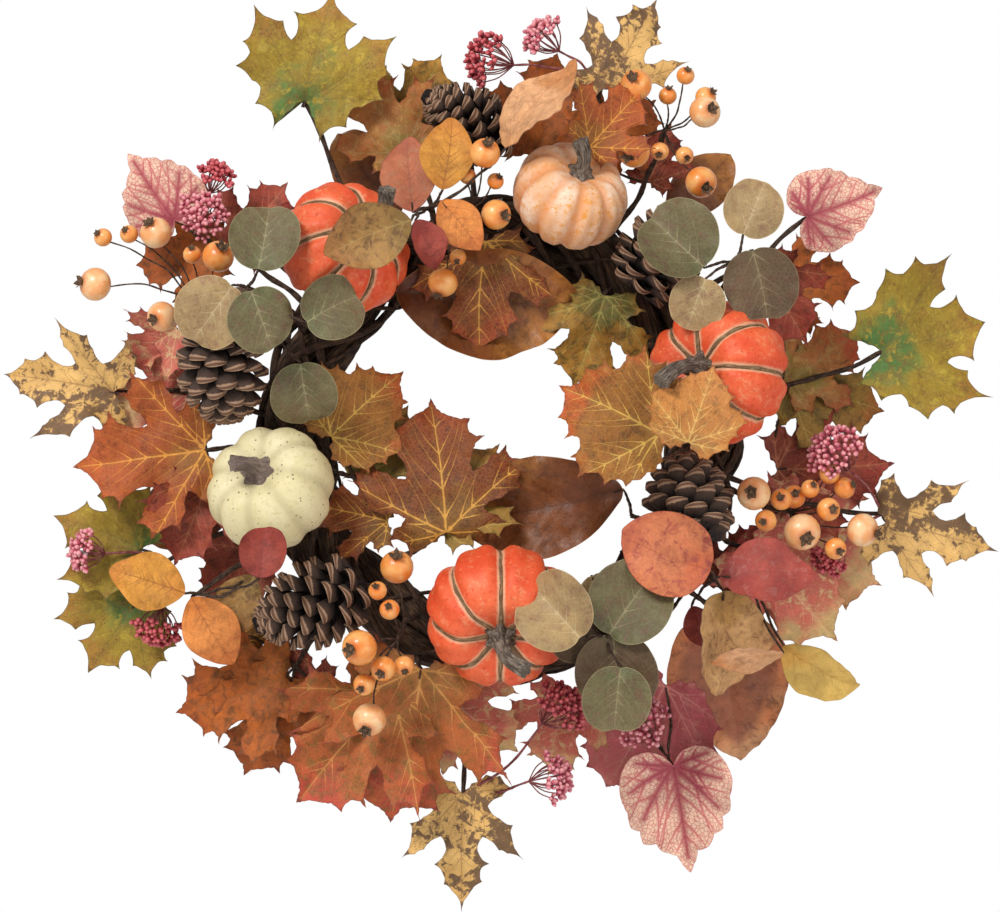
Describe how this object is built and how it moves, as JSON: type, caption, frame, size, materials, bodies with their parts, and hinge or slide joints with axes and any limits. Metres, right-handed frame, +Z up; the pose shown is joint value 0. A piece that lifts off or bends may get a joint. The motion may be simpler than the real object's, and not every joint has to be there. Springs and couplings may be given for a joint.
{
  "type": "door wreath",
  "caption": "Round door wreath: a twisted vine ring set with small pumpkins, pine cones, berry sprays and printed autumn leaves, with a wire loop at the back.",
  "frame": {"origin": "the point under the top of the ring where a door hook carries it, midway through the ring's depth", "axes": "+Z up, +X to the right seen from the front, the decorated front faces -Y, the wall side +Y"},
  "size_m": [0.5931, 0.1446, 0.5476],
  "materials": {
    "bark": "rough brown vine bark",
    "wire": "dull florist wire",
    "pumpkin_red": "speckled orange-red skin with tan grooves",
    "pumpkin_peach": "mottled peach skin",
    "pumpkin_cream": "cream skin with dark speckles",
    "pumpkin_stem": "ridged grey-brown stem",
    "pine_cone": "dark scales with tan rims",
    "berry": "pale orange berries with a soft gloss",
    "eucalyptus": "olive-brown printed leaves with pale veins",
    "magnolia": "smooth brown leaves",
    "green_maple": "green to yellow mottled leaves",
    "spotted": "yellow leaves with brown spots",
    "grape": "pink leaves with darker veins",
    "ovate": "yellow and orange leaves with dark branching veins",
    "maple": "rust, orange and brown veined leaves"
  },
  "bodies": {
    "wreath": {"vine_1": "bark", "vine_2": "bark", "vine_3": "bark", "hanger_band": "wire", "pumpkin_upper_left": "pumpkin_red", "pumpkin_top": "pumpkin_peach", "pumpkin_right": "pumpkin_red", "pumpkin_left": "pumpkin_cream", "pumpkin_bottom": "pumpkin_red", "pumpkin_upper_left_stem": "pumpkin_stem", "pumpkin_top_stem": "pumpkin_stem", "pumpkin_right_stem": "pumpkin_stem", "pumpkin_left_stem": "pumpkin_stem", "pumpkin_bottom_stem": "pumpkin_stem", "pine_cone_top": "pine_cone", "pine_cone_upper_right": "pine_cone", "pine_cone_left": "pine_cone", "pine_cone_lower_left": "pine_cone", "pine_cone_lower_right": "pine_cone", "green_maple_leaf_top": "green_maple", "green_maple_leaf_right": "green_maple", "green_maple_leaves_lower_left": "green_maple", "spotted_leaf_top": "spotted", "spotted_leaf_left": "spotted", "spotted_leaf_bottom": "spotted", "spotted_leaf_right": "spotted", "grape_leaf_upper_left": "grape", "grape_leaf_upper_right": "grape", "grape_leaf_lower_right": "grape", "eucalyptus_upper_right": "eucalyptus", "eucalyptus_left": "eucalyptus", "eucalyptus_bottom": "eucalyptus", "magnolia_leaves_top_left": "magnolia", "magnolia_leaf_inner_top": "magnolia", "magnolia_leaf_top_right": "magnolia", "magnolia_leaf_inner_bottom": "magnolia", "magnolia_leaf_lower_right": "magnolia", "magnolia_leaf_left": "magnolia", "ovate_leaves_top": "ovate", "ovate_leaves_lower_left": "ovate", "ovate_leaves_lower_right": "ovate", "berry_spray_upper_left": "berry", "berry_spray_top": "berry", "berry_spray_upper_right": "berry", "berry_spray_right": "berry", "berry_spray_lower_left": "berry", "maple_leaves_left": "maple", "maple_leaves_inner_left": "maple", "maple_leaves_inner_front": "maple", "maple_leaves_inner_right": "maple", "maple_leaf_inner_top": "maple", "maple_leaf_inner_upper_right": "maple", "maple_leaves_right": "maple", "maple_leaves_lower_right": "maple", "maple_leaves_lower_left": "maple", "maple_leaves_bottom_left": "maple", "maple_leaves_top_right": "maple", "maple_leaves_top_left": "maple", "maple_leaf_top": "maple"},
    "loop": {"hanging_loop": "wire"}
  },
  "joints": [
    {"name": "hanging_loop_hinge", "type": "hinge", "parent": "wreath", "child": "loop", "pos_m": [0, 0.02583, 0.02173], "axis": [1, 0, 0], "range_deg": [0, 180]}
  ]
}
